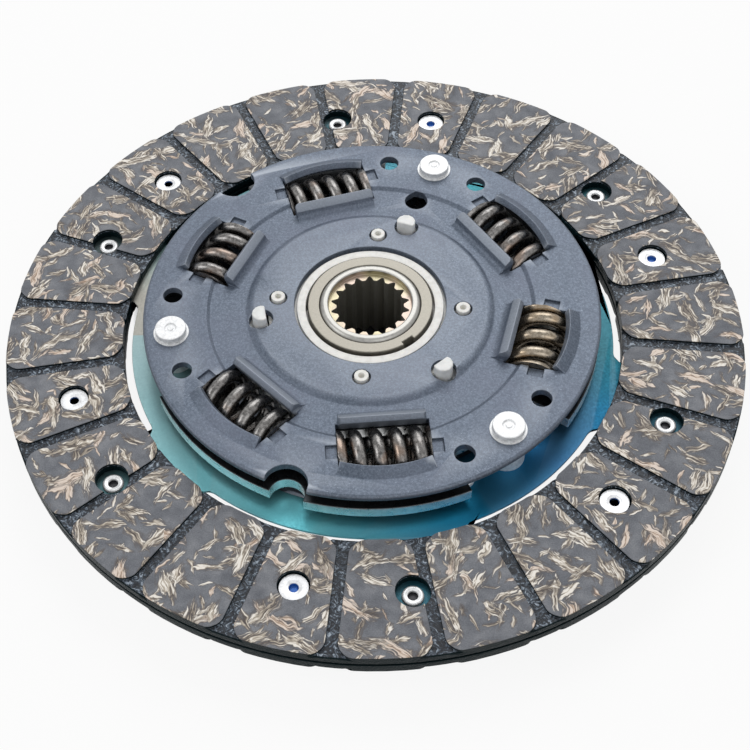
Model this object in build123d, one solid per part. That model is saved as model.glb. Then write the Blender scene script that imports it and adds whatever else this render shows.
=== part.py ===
from build123d import *
import os
from math import asin, cos, degrees, pi, radians, sin

# Clutch disc with a two-stage torsion damper, 228 mm across. Millimetres, +Z up, the axis on Z.
# It stands on the rear end of its hub (z = 0) with its front side up. Angles run
# counter-clockwise from +X, seen from the front.

# Friction ring
FACING_OD = 228.0
FACING_ID = 155.0
FACING_THICKNESS = 3.5
PAD_COUNT = 24
PAD_ANGLE = 76.4  # the middle of one pad, which a front rivet passes through
PAD_CORNER = 3.0  # cut off each corner of a pad
GROOVE_WIDTH = 3.4
GROOVE_DEPTH = 1.0

# Small round parts and holes that repeat are prisms of this many sides
ROUND_SIDES = 12

# Facing rivets, six from each side, on one circle
RIVET_CIRCLE_R = 94.3
RIVET_PER_SIDE = 6
REAR_RIVET_SHIFT = -40.0  # from a front rivet to the next rear one
RIVET_SHANK_D = 5.0
RIVET_FLANGE_D = 8.4
RIVET_FLANGE_T = 0.6
RIVET_ROLLED_D = 6.3
RIVET_ROLLED_H = 0.9
RIVET_CLEARANCE = 0.1
RIVET_SEAT_DEPTH = 2.1  # from the friction face down to the seat of the rivet's flange
RIVET_SEAT_D = 9.2
ACCESS_HOLE_D = 9.8

# Cushion disc, of spring steel
CUSHION_T = 0.8
CUSHION_OD = 224.0
CUSHION_RING_OD = 150.2  # the ring inside its six openings
CUSHION_RING_ID = 129.0
CUSHION_OPENINGS = 6
CUSHION_OPENING_ANGLE = 10.0
CUSHION_OPENING_SPAN = 41.0
CUSHION_OPENING_OUTER_R = 81.5
CUSHION_OPENING_CORNER = 2.2
CUSHION_SLOTS = 12
CUSHION_SLOT_WIDTH = 2.6
CUSHION_SLOT_MARGIN = 5.5  # from the openings out to the slots
CUSHION_EAR_INNER_R = 54.5
CUSHION_EAR_SPAN = 37.0

# Heights of the stack
HUB_REAR_REACH = 12.2  # from the hub's rear end up to the cushion disc
FLANGE_REAR_GAP = 3.2  # from the cushion disc up to the hub flange
FLANGE_T = 4.2
FLANGE_FRONT_GAP = 3.4  # from the hub flange up to the front retainer plate

# Retainer plates
PLATE_OD = 140.0
PLATE_T = 2.5
WINDOW_BAND_INNER_R = 50.4  # the flat band that holds the windows' outer halves
STEP_RUN = 1.1
MIDDLE_DROP = 0.8  # the middle band lies this far below the window band
CENTRE_OUTER_R = 35.6
RAMP_RUN = 2.4
FRONT_CENTRE_RISE = 0.6  # the centre stands this far above the window band
REAR_CENTRE_RISE = 1.0
FRONT_BORE_D = 46.6
RIM_NOTCH_R = 6.4
RIM_NOTCH_CENTRE_R = 69.4

# Main damper springs: (angle, window width, pitch) of each
SPRING_CIRCLE_R = 52.2
SPRING_OD = 19.0
SPRING_WIRE_D = 4.0
SPRING_WIRE_SIDES = 6
SPRING_TURN_SIDES = 10
SPRING_SIDE_CLEARANCE = 0.35
SPRING_END_GAP = 0.1
DAMPER_ANGLE = 9.3  # the middle of the first pair of windows
WINDOW_OFFSET = 24.5  # each window of a pair, from the pair's middle
WIDE_WINDOW = 27.0
NARROW_WINDOW = 23.0
CLOSE_PITCH = 5.8
OPEN_PITCH = 6.8
WINDOW_SET = [
    (DAMPER_ANGLE + WINDOW_OFFSET, WIDE_WINDOW, OPEN_PITCH),
    (DAMPER_ANGLE + 120 - WINDOW_OFFSET, WIDE_WINDOW, CLOSE_PITCH),
    (DAMPER_ANGLE + 120 + WINDOW_OFFSET, NARROW_WINDOW, OPEN_PITCH),
    (DAMPER_ANGLE + 240 - WINDOW_OFFSET, WIDE_WINDOW, OPEN_PITCH),
    (DAMPER_ANGLE + 240 + WINDOW_OFFSET, WIDE_WINDOW, CLOSE_PITCH),
    (DAMPER_ANGLE + 360 - WINDOW_OFFSET, NARROW_WINDOW, OPEN_PITCH),
]

# Windows in the retainer plates
WINDOW_INNER_X = 43.7
WINDOW_OUTER_X = 61.8
WINDOW_ARC_R = 38.0  # the outer edge bulges to this radius
LIP_T = 2.2
LIP_END_GAP = 0.8  # the inner lip is shorter than the window by this at each end
LIP_CORNER = 0.7
INNER_LIP_H = 6.0  # from the window band's inner face to the lip's top
INNER_LIP_TIP = 4.45  # and to the edge that hangs over the spring
INNER_LIP_LEAN = 1.9
INNER_LIP_TOP_T = 1.2
INNER_LIP_SHOULDER = 3.5  # from that edge back to where the lip leans over
INNER_LIP_RISE = [(2.7, 0), (1.2, 0.19), (0.4, 0.54)]  # (back from the shoulder, share of its height)
OUTER_LIP_H = 4.6
OUTER_LIP_TIP = 2.7
OUTER_LIP_LEAN = 2.2
OUTER_LIP_TOP_T = 1.15
RELIEF_LENGTH = 3.4  # half-sheared relief at each end of a window
RELIEF_WIDTH = 4.6
RELIEF_X = 53.6
RELIEF_DEPTH = 0.9

# Stop pins, and the rivets that hold the cushion disc to the rear plate
STOP_PINS = 3
STOP_PIN_CIRCLE_R = 61.4
STOP_PIN_OFFSET = 60.0  # from the middle of a pair of windows
STOP_PIN_BODY_D = 11.0
STOP_PIN_SHANK_D = 8.0
STOP_PIN_HEAD_D = 9.5
STOP_PIN_HEAD_H = 2.5
SHANK_CLEARANCE = 0.05
PLATE_RIVET_CIRCLE_R = 61.4
PLATE_RIVET_OFFSET = 14.1  # each side of a stop pin
PLATE_RIVET_SHANK_D = 4.0
PLATE_RIVET_HEAD_D = 6.6
PLATE_RIVET_HEAD_H = 1.3
RIVET_ACCESS_D = 5.9
TOOLING_HOLE_D = 7.1
TOOLING_HOLE_R = 46.8
TOOLING_HOLE_ANGLE = 70.7

# Hub flange
FLANGE_OD = 140.0
STOP_RECESS_SPAN = 31.4
STOP_RECESS_INNER_R = 55.2
STOP_RECESS_CORNER = 2.5
FLANGE_NOTCH_R = 5.2

# Hub
HUB_NOSE_TOP = 27.5
HUB_SLEEVE_D = 34.0
HUB_SLEEVE_CHAMFER = 1.2
HUB_NOSE_D = 31.0
HUB_NOSE_ROUND = 0.9
HUB_RECESS_D = 25.6
HUB_RECESS_DEPTH = 1.9
SPLINE_TEETH = 18
SPLINE_MAJOR_D = 24.0
SPLINE_MINOR_D = 20.6
SPLINE_ROOT_SHARE = 0.12  # of the pitch, at the major diameter
SPLINE_MOUTH_SHARE = 0.70  # of the pitch, at the minor diameter
HUB_TOOTH_COUNT = 12
HUB_TOOTH_OD = 42.8
HUB_TOOTH_ROOT_D = 38.8
HUB_TOOTH_SPAN = 10.0
HUB_TOOTH_RISE = 0.9  # the toothed collar passes the hub flange by this on each side
FLANGE_TOOTH_SPAN = 10.0
TOOTH_RUNNING_GAP = 0.06

# Pre-damper springs, in pockets half in the hub and half in its flange
POCKET_ANGLE = 39.3
POCKETS = 2
POCKET_WIDTH = 10.6
POCKET_CIRCLE_R = 20.6
PREDAMPER_SPRING_OD = 5.2
PREDAMPER_WIRE_D = 0.9
PREDAMPER_PITCH = 2.1
PREDAMPER_WIRE_SIDES = 4
PREDAMPER_TURN_SIDES = 8
POCKET_CLEARANCE = 0.3

# Bushes, friction parts and the guide ring round the hub's nose
GUIDE_RING_OD = 38.2
GUIDE_RING_DROP = 0.7  # its top below the hub's nose
GUIDE_RING_SLOT_WIDTH = 3.8
GUIDE_RING_SLOT_DEPTH = 1.2
GUIDE_RING_SLOT_ANGLE = 307.5
PUSH_FIT = 0.05
BUSH_COLLAR_ID = 39.6
BUSH_COLLAR_OD = 45.0
BUSH_COLLAR_DROP = 1.1  # its top below the plate's centre
BUSH_FLANGE_OD = 62.8
BUSH_FLOOR_T = 1.2  # the floor between the collar and the guide ring
DOWELS = 4
DOWEL_CIRCLE_R = 28.4
DOWEL_ANGLE = 84.2
DOWEL_OD = 4.4
DOWEL_BORE_D = 1.9
DOWEL_STANDS_OUT = 0.7
DOWEL_HOLE_D = 5.4
FRICTION_RING_OD = 84.0
FRICTION_RING_ID = 63.6
FACE_GAP = 0.1
PEG_CIRCLE_R = 33.4
PEG_D = 6.0
PEG_FLAT = 1.2  # from the peg's middle to its flat
PEG_STANDS_OUT = 2.8
PEG_HOLE_D = 7.4
PEG_HOLE_CIRCLE_R = 33.8
RUNNING_GAP = 0.06
REAR_BUSH_COLLAR_OD = 41.0
REAR_BUSH_FLANGE_OD = 60.0
REAR_BUSH_T = 1.2
REAR_BORE_GAP = 0.3
BELLEVILLE_T = 0.6
BELLEVILLE_H = 1.5
BELLEVILLE_OD = 56.0
BELLEVILLE_ID = 42.0
THRUST_WASHER_T = 1.0
THRUST_WASHER_OD = 62.0
THRUST_WASHER_ID = 44.0
THRUST_TABS = 4

# Heights and radii that follow
cushion_z = HUB_REAR_REACH
cushion_top = cushion_z + CUSHION_T
front_face_z = cushion_top + FACING_THICKNESS
rear_face_z = cushion_z - FACING_THICKNESS
flange_z = cushion_top + FLANGE_REAR_GAP
flange_top = flange_z + FLANGE_T
damper_z = flange_z + FLANGE_T / 2
front_plate_z = flange_top + FLANGE_FRONT_GAP  # inner face of the window band
front_centre_z = front_plate_z + FRONT_CENTRE_RISE  # inner face of the centre
rear_centre_z = cushion_z - REAR_CENTRE_RISE
pin_angles = [DAMPER_ANGLE + STOP_PIN_OFFSET + i * 360 / STOP_PINS for i in range(STOP_PINS)]
front_rivet_angles = [PAD_ANGLE + i * 360 / RIVET_PER_SIDE for i in range(RIVET_PER_SIDE)]
rear_rivet_angles = [a + REAR_RIVET_SHIFT for a in front_rivet_angles]
plate_rivet_angles = [p + s * PLATE_RIVET_OFFSET for p in pin_angles for s in (-1, 1)]
notch_angles = [DAMPER_ANGLE + 120, DAMPER_ANGLE + 240]
dowel_angles = [DOWEL_ANGLE + i * 360 / DOWELS for i in range(DOWELS)]
pocket_angles = [POCKET_ANGLE + i * 360 / POCKETS for i in range(POCKETS)]


def at(radius, angle, z=0.0):
    """A place at a radius and angle, turned so that its X points outwards."""
    return Rot(0, 0, angle) * Pos(radius, 0, z)


def disc(diameter, z, height):
    return Pos(0, 0, z) * extrude(Circle(diameter / 2), height)


def ring(outer_d, inner_d, z, height):
    return Pos(0, 0, z) * extrude(Circle(outer_d / 2) - Circle(inner_d / 2), height)


def turned(points):
    """A solid of revolution about Z, from (radius, z) points."""
    return revolve(Plane.XZ * make_face(Polyline(*points, close=True)), Axis.Z)


def prism(diameter, z, height, sides=ROUND_SIDES):
    return Pos(0, 0, z) * extrude(RegularPolygon(diameter / 2, sides), height)


def prisms(diameter, radius, angles, z, height):
    return [at(radius, a) * prism(diameter, z, height) for a in angles]


def sector(outer_r, inner_r, span, angle):
    """A flat piece of a ring, its two ends on radial lines."""
    half = radians(span) / 2
    ends = [(r * cos(s * half), r * sin(s * half)) for r, s in ((inner_r, -1), (outer_r, -1))]
    back = [(r * cos(half), r * sin(half)) for r in (outer_r, inner_r)]
    outline = [
        Line(ends[0], ends[1]),
        ThreePointArc(ends[1], (outer_r, 0), back[0]),
        Line(back[0], back[1]),
        ThreePointArc(back[1], (inner_r, 0), ends[0]),
    ]
    return Rot(0, 0, angle) * make_face(outline)


def write(name, shape):
    export_step(shape, os.path.join("parts", name + ".step"))


# Friction facings
def groove_outline():
    """The space between two pads, from edge to edge, flared where the pads' corners are cut off."""
    inner, outer = FACING_ID / 2 - 1, FACING_OD / 2 + 1
    half, flare = GROOVE_WIDTH / 2, GROOVE_WIDTH / 2 + PAD_CORNER + 1
    neck_in, neck_out = inner + 1 + PAD_CORNER, outer - 1 - PAD_CORNER
    side = [(inner, flare), (neck_in, half), (neck_out, half), (outer, flare)]
    return make_face(Polyline(*side, *[(x, -y) for x, y in reversed(side)], close=True))


def facing(rivet_angles, access_angles):
    """A facing on z = 0 with its pads up: flat back, seats for its own rivets, holes for the others."""
    body = ring(FACING_OD, FACING_ID, 0, FACING_THICKNESS)
    groove = Pos(0, 0, FACING_THICKNESS - GROOVE_DEPTH) * extrude(groove_outline(), GROOVE_DEPTH)
    pitch = 360 / PAD_COUNT
    first = PAD_ANGLE + pitch / 2
    body -= [Rot(0, 0, first + i * pitch) * groove for i in range(PAD_COUNT)]
    seat_z = FACING_THICKNESS - RIVET_SEAT_DEPTH
    shank_hole = RIVET_SHANK_D + 2 * RIVET_CLEARANCE
    body -= prisms(shank_hole, RIVET_CIRCLE_R, rivet_angles, 0, FACING_THICKNESS)
    body -= prisms(RIVET_SEAT_D, RIVET_CIRCLE_R, rivet_angles, seat_z, RIVET_SEAT_DEPTH)
    return body - prisms(ACCESS_HOLE_D, RIVET_CIRCLE_R, access_angles, 0, FACING_THICKNESS)


def facing_rivet():
    """A rivet, flange up, from its seat (z = 0) down through the cushion disc."""
    grip = FACING_THICKNESS - RIVET_SEAT_DEPTH + CUSHION_T
    rivet = prism(RIVET_SHANK_D, -grip, grip)
    rivet += prism(RIVET_FLANGE_D, 0, RIVET_FLANGE_T)
    return rivet + prism(RIVET_ROLLED_D, -grip - RIVET_ROLLED_H, RIVET_ROLLED_H)


def facings_and_rivets():
    front = Pos(0, 0, cushion_top) * facing(front_rivet_angles, rear_rivet_angles)
    rear = mirror(facing(rear_rivet_angles, front_rivet_angles), Plane.XY)
    write("front_facing", front)
    write("rear_facing", Pos(0, 0, cushion_z) * rear)
    rivet = facing_rivet()
    front_seat = front_face_z - RIVET_SEAT_DEPTH
    rear_seat = rear_face_z + RIVET_SEAT_DEPTH
    front_set = [at(RIVET_CIRCLE_R, a, front_seat) * rivet for a in front_rivet_angles]
    flipped = mirror(rivet, Plane.XY)
    rear_set = [at(RIVET_CIRCLE_R, a, rear_seat) * flipped for a in rear_rivet_angles]
    write("front_facing_rivets", Compound(children=front_set))
    write("rear_facing_rivets", Compound(children=rear_set))


# Cushion disc
def cushion_disc():
    sheet = Circle(CUSHION_OD / 2) - Circle(CUSHION_RING_ID / 2)
    ring_r = CUSHION_RING_OD / 2
    opening = sector(CUSHION_OPENING_OUTER_R, ring_r, CUSHION_OPENING_SPAN, CUSHION_OPENING_ANGLE)
    opening = chamfer(opening.vertices(), CUSHION_OPENING_CORNER)
    sheet -= [Rot(0, 0, i * 360 / CUSHION_OPENINGS) * opening for i in range(CUSHION_OPENINGS)]
    slot_inner_r = CUSHION_OPENING_OUTER_R + CUSHION_SLOT_MARGIN
    slot_length = CUSHION_OD / 2 - slot_inner_r
    slot_middle = slot_inner_r + slot_length / 2
    slot = Rectangle(slot_length, CUSHION_SLOT_WIDTH)
    first = PAD_ANGLE - 50
    pitch = 360 / CUSHION_SLOTS
    sheet -= [at(slot_middle, first + i * pitch) * slot for i in range(CUSHION_SLOTS)]
    for angle in pin_angles:
        ear = sector(ring_r - 1, CUSHION_EAR_INNER_R, CUSHION_EAR_SPAN, angle)
        sheet += ear
    body = Pos(0, 0, cushion_z) * extrude(sheet, CUSHION_T)
    shank_hole = RIVET_SHANK_D + 2 * RIVET_CLEARANCE
    rivet_angles = front_rivet_angles + rear_rivet_angles
    body -= prisms(shank_hole, RIVET_CIRCLE_R, rivet_angles, cushion_z, CUSHION_T)
    body -= pin_and_rivet_holes(cushion_z, CUSHION_T)
    write("cushion_disc", body)


def pin_and_rivet_holes(z, height):
    """Holes for the stop pins' shanks and for the rivets beside them."""
    pin_hole = STOP_PIN_SHANK_D + 2 * SHANK_CLEARANCE
    rivet_hole = PLATE_RIVET_SHANK_D + 2 * SHANK_CLEARANCE
    return prisms(pin_hole, STOP_PIN_CIRCLE_R, pin_angles, z, height) + prisms(
        rivet_hole, PLATE_RIVET_CIRCLE_R, plate_rivet_angles, z, height
    )


# Retainer plates, built with the window band's inner face on z = 0 and their outside up
def plate_sheet(bore_d, middle_drop, centre_rise):
    """The pressed sheet: a window band, a middle band below it and a raised centre."""
    ramp_r = CENTRE_OUTER_R + RAMP_RUN
    step_r = WINDOW_BAND_INNER_R - STEP_RUN
    inner = [
        (bore_d / 2, centre_rise), (CENTRE_OUTER_R, centre_rise), (ramp_r, -middle_drop),
        (step_r, -middle_drop), (WINDOW_BAND_INNER_R, 0), (PLATE_OD / 2, 0),
    ]
    if not middle_drop:
        inner[3:5] = []
    outer = [(r, z + PLATE_T) for r, z in reversed(inner)]
    return turned(inner + outer)


def window_cut(width):
    arc_centre = WINDOW_OUTER_X - WINDOW_ARC_R
    reach = WINDOW_OUTER_X - WINDOW_INNER_X
    opening = Pos(arc_centre, 0) * Circle(WINDOW_ARC_R)
    opening &= Pos(WINDOW_INNER_X + reach / 2, 0) * Rectangle(reach, width)
    return Pos(0, 0, -PLATE_T) * extrude(opening, 4 * PLATE_T)


def inner_lip(width, middle_drop):
    """A straight lip, curved up along the window's inner edge and leaning over the spring."""
    foot = -middle_drop
    sheet_top = foot + PLATE_T
    tip_x = WINDOW_INNER_X + INNER_LIP_LEAN
    top_x = tip_x - INNER_LIP_TOP_T
    shoulder_x, shoulder_z = tip_x - INNER_LIP_SHOULDER, INNER_LIP_TIP - PUSH_FIT
    height = shoulder_z - sheet_top
    rise = [(shoulder_x - back, sheet_top + share * height) for back, share in INNER_LIP_RISE]
    section = Plane.XZ * make_face(Polyline(
        (WINDOW_INNER_X, foot), (tip_x, INNER_LIP_TIP), (top_x, INNER_LIP_H),
        (shoulder_x, shoulder_z), *reversed(rise), (rise[0][0], foot), close=True,
    ))
    length = width - 2 * LIP_END_GAP
    lip = Pos(0, length / 2, 0) * extrude(section, length)
    middle_x = (tip_x + top_x) / 2
    corners = [e for e in lip.edges() if abs(e.center().X - middle_x) < 0.01]
    corners = [e for e in corners if abs(e.center().Y) > length / 2 - 0.01]
    return chamfer(corners, LIP_CORNER)


def outer_lip(width):
    """A curved lip along the window's outer edge, leaning in over the spring."""
    arc_centre = WINDOW_OUTER_X - WINDOW_ARC_R
    half = degrees(asin(width / 2 / WINDOW_ARC_R))
    foot_r, tip_r = WINDOW_ARC_R + LIP_T, WINDOW_ARC_R - OUTER_LIP_LEAN
    section = Plane.XZ * make_face(Polyline(
        (WINDOW_ARC_R, 0), (foot_r, PLATE_T / 2), (foot_r, PLATE_T),
        (tip_r + OUTER_LIP_TOP_T, OUTER_LIP_H), (tip_r, OUTER_LIP_TIP), close=True,
    ))
    return Pos(arc_centre, 0, 0) * Rot(0, 0, -half) * revolve(section, Axis.Z, 2 * half)


def reliefs(width):
    """Shallow half-sheared pads beside the window's two ends."""
    pad = Box(RELIEF_WIDTH, RELIEF_LENGTH, RELIEF_DEPTH)
    z = PLATE_T - RELIEF_DEPTH / 2
    y = (width + RELIEF_LENGTH) / 2
    return [Pos(RELIEF_X, side * y, z) * pad for side in (-1, 1)]


def retainer_plate(bore_d, middle_drop, centre_rise):
    plate = plate_sheet(bore_d, middle_drop, centre_rise)
    for angle, width, _ in WINDOW_SET:
        plate -= Rot(0, 0, angle) * window_cut(width)
        plate -= [Rot(0, 0, angle) * relief for relief in reliefs(width)]
        lips = [inner_lip(width, middle_drop), outer_lip(width)]
        plate += [Rot(0, 0, angle) * lip for lip in lips]
    plate -= [at(RIM_NOTCH_CENTRE_R, a) * Cylinder(RIM_NOTCH_R, 4 * PLATE_T) for a in notch_angles]
    return plate


def front_retainer_plate():
    plate = retainer_plate(FRONT_BORE_D, MIDDLE_DROP, FRONT_CENTRE_RISE)
    low, through = -PLATE_T, 4 * PLATE_T
    pin_hole = STOP_PIN_SHANK_D + 2 * SHANK_CLEARANCE
    plate -= prisms(pin_hole, STOP_PIN_CIRCLE_R, pin_angles, low, through)
    plate -= prisms(RIVET_ACCESS_D, PLATE_RIVET_CIRCLE_R, plate_rivet_angles, low, through)
    plate -= prisms(TOOLING_HOLE_D, TOOLING_HOLE_R, [TOOLING_HOLE_ANGLE], low, through)
    plate -= prisms(PEG_HOLE_D, PEG_HOLE_CIRCLE_R, pin_angles, low, through)
    plate -= prisms(DOWEL_HOLE_D, DOWEL_CIRCLE_R, dowel_angles, low, through)
    write("front_retainer_plate", Pos(0, 0, front_plate_z) * plate)


def rear_retainer_plate():
    bore_d = REAR_BUSH_COLLAR_OD + 2 * REAR_BORE_GAP
    plate = retainer_plate(bore_d, 0, REAR_CENTRE_RISE)
    plate -= pin_and_rivet_holes(-PLATE_T, 4 * PLATE_T)
    write("rear_retainer_plate", Pos(0, 0, cushion_z) * mirror(plate, Plane.XY))


# Stop pins and the cushion disc's rivets
def stop_pins():
    """Each pin spaces the plates apart with its body and is headed over on both sides."""
    rear_plate_back = cushion_z - PLATE_T
    front_plate_top = front_plate_z + PLATE_T
    bottom = rear_plate_back - STOP_PIN_HEAD_H
    pin = prism(STOP_PIN_SHANK_D, bottom, front_plate_top - bottom)
    pin += prism(STOP_PIN_BODY_D, cushion_top, front_plate_z - cushion_top)
    pin += [prism(STOP_PIN_HEAD_D, z, STOP_PIN_HEAD_H) for z in (bottom, front_plate_top)]
    for i, angle in enumerate(pin_angles, 1):
        write(f"stop_pin_{i}", at(STOP_PIN_CIRCLE_R, angle) * pin)


def cushion_disc_rivets():
    rear_head_z = cushion_z - PLATE_T - PLATE_RIVET_HEAD_H
    rivet = prism(PLATE_RIVET_SHANK_D, rear_head_z, cushion_top - rear_head_z)
    heads = (rear_head_z, cushion_top)
    rivet += [prism(PLATE_RIVET_HEAD_D, z, PLATE_RIVET_HEAD_H) for z in heads]
    rivets = [at(PLATE_RIVET_CIRCLE_R, a) * rivet for a in plate_rivet_angles]
    write("cushion_disc_rivets", Compound(children=rivets))


# Coil springs
def coil_spring(outer_d, wire_d, length, pitch, wire_sides, turn_sides):
    """A coil along Z from z = 0: a closed turn at each end, ground flat, and open turns between."""
    coil_r = (outer_d - wire_d) / 2
    end_rise = wire_d * 1.02
    open_rise = length + wire_d - 2 * end_rise
    ends = turn_sides
    middle = round(open_rise / pitch * turn_sides)
    rises = [end_rise / ends] * ends + [open_rise / middle] * middle + [end_rise / ends] * ends
    z, points = -wire_d / 2, []
    for i, rise in enumerate(rises + [0]):
        a = 2 * pi * i / turn_sides
        points.append((coil_r * cos(a), coil_r * sin(a), z))
        z += rise
    path = Polyline(*points)
    section = Plane(path @ 0, z_dir=path % 0) * RegularPolygon(wire_d / 2, wire_sides)
    wire = sweep(section, path, transition=Transition.RIGHT)
    keep = Cylinder(outer_d, length, align=(Align.CENTER, Align.CENTER, Align.MIN))
    return wire & keep


def laid_tangentially(spring, length, radius, angle):
    """The spring turned to lie across the radius, its middle at that radius."""
    return at(radius, angle, damper_z) * Pos(0, length / 2, 0) * Rot(90, 0, 0) * spring


def damper_springs():
    for i, (angle, width, pitch) in enumerate(WINDOW_SET, 1):
        length = width - 2 * SPRING_END_GAP
        spring = coil_spring(
            SPRING_OD, SPRING_WIRE_D, length, pitch, SPRING_WIRE_SIDES, SPRING_TURN_SIDES
        )
        write(f"damper_spring_{i}", laid_tangentially(spring, length, SPRING_CIRCLE_R, angle))


def predamper_springs():
    length = POCKET_WIDTH - 2 * SPRING_END_GAP
    spring = coil_spring(
        PREDAMPER_SPRING_OD, PREDAMPER_WIRE_D, length, PREDAMPER_PITCH, PREDAMPER_WIRE_SIDES,
        PREDAMPER_TURN_SIDES,
    )
    for i, angle in enumerate(pocket_angles, 1):
        laid = laid_tangentially(spring, length, POCKET_CIRCLE_R, angle)
        write(f"predamper_spring_{i}", laid)


# Hub and hub flange
def pockets(z, height):
    reach = PREDAMPER_SPRING_OD + 2 * POCKET_CLEARANCE
    pocket = extrude(Rectangle(reach, POCKET_WIDTH), height)
    return [at(POCKET_CIRCLE_R, a, z) * pocket for a in pocket_angles]


def toothed_outline(body_d, tip_d, count, span, first):
    """A circle of body_d with teeth that end on tip_d, inside or outside it."""
    low, high = sorted((body_d / 2, tip_d / 2))
    overlap = 0.5
    inner = low - overlap if tip_d > body_d else low
    outer = high if tip_d > body_d else high + overlap
    tooth = sector(outer, inner, span, first)
    return [Rot(0, 0, i * 360 / count) * tooth for i in range(count)]


def hub_flange():
    tooth_root_d = HUB_TOOTH_OD + 2 * TOOTH_RUNNING_GAP
    tooth_tip_d = HUB_TOOTH_ROOT_D + 2 * TOOTH_RUNNING_GAP
    first = POCKET_ANGLE + 180 / HUB_TOOTH_COUNT
    sheet = Circle(FLANGE_OD / 2) - Circle(tooth_root_d / 2)
    sheet += toothed_outline(tooth_root_d, tooth_tip_d, HUB_TOOTH_COUNT, FLANGE_TOOTH_SPAN, first)
    radial = SPRING_OD + 2 * SPRING_SIDE_CLEARANCE
    for angle, width, _ in WINDOW_SET:
        sheet -= at(SPRING_CIRCLE_R, angle) * Rectangle(radial, width)
    recess = sector(FLANGE_OD / 2 + 10, STOP_RECESS_INNER_R, STOP_RECESS_SPAN, 0)
    recess = chamfer(recess.vertices(), STOP_RECESS_CORNER)
    sheet -= [Rot(0, 0, a) * recess for a in pin_angles]
    sheet -= [at(RIM_NOTCH_CENTRE_R, a) * Circle(FLANGE_NOTCH_R) for a in notch_angles]
    body = Pos(0, 0, flange_z) * extrude(sheet, FLANGE_T)
    write("hub_flange", body - pockets(flange_z, FLANGE_T))


def spline_outline():
    """The bore's outline: straight-flanked spaces between the teeth."""
    pitch = 360 / SPLINE_TEETH
    major, minor = SPLINE_MAJOR_D / 2, SPLINE_MINOR_D / 2
    root, mouth = SPLINE_ROOT_SHARE * pitch / 2, SPLINE_MOUTH_SHARE * pitch / 2
    points = []
    for i in range(SPLINE_TEETH):
        for r, turn in ((minor, -mouth), (major, -root), (major, root), (minor, mouth)):
            a = radians(90 + i * pitch + turn)
            points.append((r * cos(a), r * sin(a)))
    return make_face(Polyline(*points, close=True))


def hub():
    collar_z = flange_z - HUB_TOOTH_RISE
    collar_top = flange_top + HUB_TOOTH_RISE
    collar_h = collar_top - collar_z
    sleeve, nose, cut = HUB_SLEEVE_D / 2, HUB_NOSE_D / 2, HUB_SLEEVE_CHAMFER
    root = HUB_TOOTH_ROOT_D / 2
    lip = HUB_NOSE_ROUND
    body = turned([
        (0, 0), (sleeve - cut, 0), (sleeve, cut), (sleeve, collar_z), (root, collar_z),
        (root, collar_top), (nose, collar_top), (nose, HUB_NOSE_TOP - lip),
        (nose - lip, HUB_NOSE_TOP), (0, HUB_NOSE_TOP),
    ])
    teeth = toothed_outline(
        HUB_TOOTH_ROOT_D, HUB_TOOTH_OD, HUB_TOOTH_COUNT, HUB_TOOTH_SPAN, POCKET_ANGLE
    )
    body += [Pos(0, 0, collar_z) * extrude(tooth, collar_h) for tooth in teeth]
    body -= pockets(collar_z, collar_h)
    body -= extrude(spline_outline(), HUB_NOSE_TOP)
    recess_z = HUB_NOSE_TOP - HUB_RECESS_DEPTH
    body -= disc(HUB_RECESS_D, recess_z, HUB_RECESS_DEPTH)
    body -= disc(HUB_RECESS_D, 0, HUB_RECESS_DEPTH / 2)
    write("hub", body)


def hub_guide_ring():
    """A ring pushed onto the hub's nose, with one slot in its wall."""
    z = flange_top + HUB_TOOTH_RISE
    top = HUB_NOSE_TOP - GUIDE_RING_DROP
    outer, inner = GUIDE_RING_OD / 2, HUB_NOSE_D / 2 + PUSH_FIT
    body = turned([(inner, z), (outer, z), (outer, top), (inner, top)])
    slot = Box(2 * GUIDE_RING_SLOT_DEPTH, GUIDE_RING_SLOT_WIDTH, 2 * (top - z))
    body -= at(outer, GUIDE_RING_SLOT_ANGLE, z) * slot
    write("hub_guide_ring", body)


# Bushes and friction parts
def front_bush():
    """A moulded bush on the hub's toothed collar. Its floor runs on the guide ring, its collar
    fills the plate's bore, and four hollow dowels on its flange pass through the plate."""
    z = flange_top + HUB_TOOTH_RISE + FACE_GAP
    plate_top = front_centre_z + PLATE_T
    floor_r, wall_r = GUIDE_RING_OD / 2 + RUNNING_GAP, BUSH_COLLAR_ID / 2
    body = turned([
        (floor_r, z), (BUSH_FLANGE_OD / 2, z), (BUSH_FLANGE_OD / 2, front_centre_z),
        (BUSH_COLLAR_OD / 2, front_centre_z), (BUSH_COLLAR_OD / 2, plate_top - BUSH_COLLAR_DROP),
        (wall_r, plate_top - BUSH_COLLAR_DROP), (wall_r, z + BUSH_FLOOR_T),
        (floor_r, z + BUSH_FLOOR_T),
    ])
    dowel_h = plate_top + DOWEL_STANDS_OUT - front_centre_z
    body += prisms(DOWEL_OD, DOWEL_CIRCLE_R, dowel_angles, front_centre_z, dowel_h)
    bore_z = front_centre_z + 1
    body -= prisms(DOWEL_BORE_D, DOWEL_CIRCLE_R, dowel_angles, bore_z, dowel_h)
    write("front_bush", body)


def front_friction_ring():
    """A ring between the hub flange and the front plate, kept from turning by three pegs."""
    z = flange_top + FACE_GAP
    top = front_plate_z - MIDDLE_DROP
    peg_top = front_centre_z + PLATE_T + PEG_STANDS_OUT
    body = ring(FRICTION_RING_OD, FRICTION_RING_ID, z, top - z)
    peg = Pos(0, 0, z) * extrude(peg_outline(), peg_top - z)
    body += [Rot(0, 0, a) * peg for a in pin_angles]
    write("front_friction_ring", body)


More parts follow.
